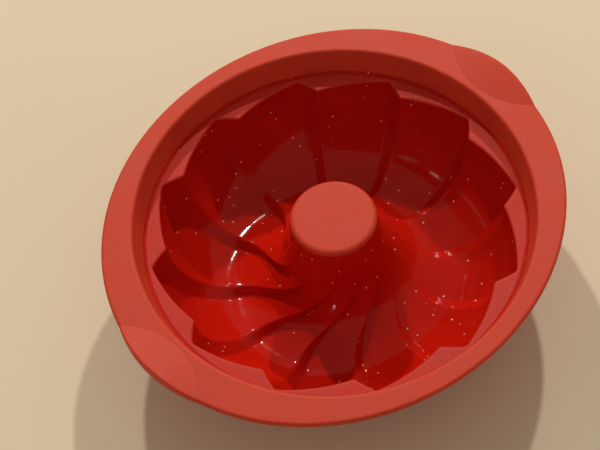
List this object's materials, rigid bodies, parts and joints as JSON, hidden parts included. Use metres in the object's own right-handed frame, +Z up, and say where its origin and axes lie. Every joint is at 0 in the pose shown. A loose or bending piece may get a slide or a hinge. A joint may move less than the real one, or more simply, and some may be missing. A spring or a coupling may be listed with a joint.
{
  "type": "bundt pan",
  "caption": "Silicone bundt pan with a swirl-fluted ring cavity, a closed centre tube, a stepped ledge and a flat oval rim with a raised grip tab at each end.",
  "frame": {"origin": "on the table that the pan stands on, under the middle of the centre tube", "axes": "+Z up out of the open mouth, +X along the rim's long axis through the two grips, +Y along its short axis"},
  "size_m": [0.2652, 0.2388, 0.0741],
  "materials": {
    "silicone_matte": "terracotta red silicone, fine matte grain",
    "silicone_gloss": "terracotta red silicone, satin to glossy",
    "steel_wire": "plain round wire"
  },
  "bodies": {
    "root": {"fluted_bowl": "silicone_gloss", "ledge": "silicone_matte", "ring_wall": "silicone_gloss", "centre_tube": "silicone_matte", "rim_flange": "silicone_matte", "rim_hem": "silicone_matte", "grip_right": "silicone_matte", "grip_left": "silicone_matte", "reinforcing_ring": "steel_wire"}
  },
  "joints": []
}
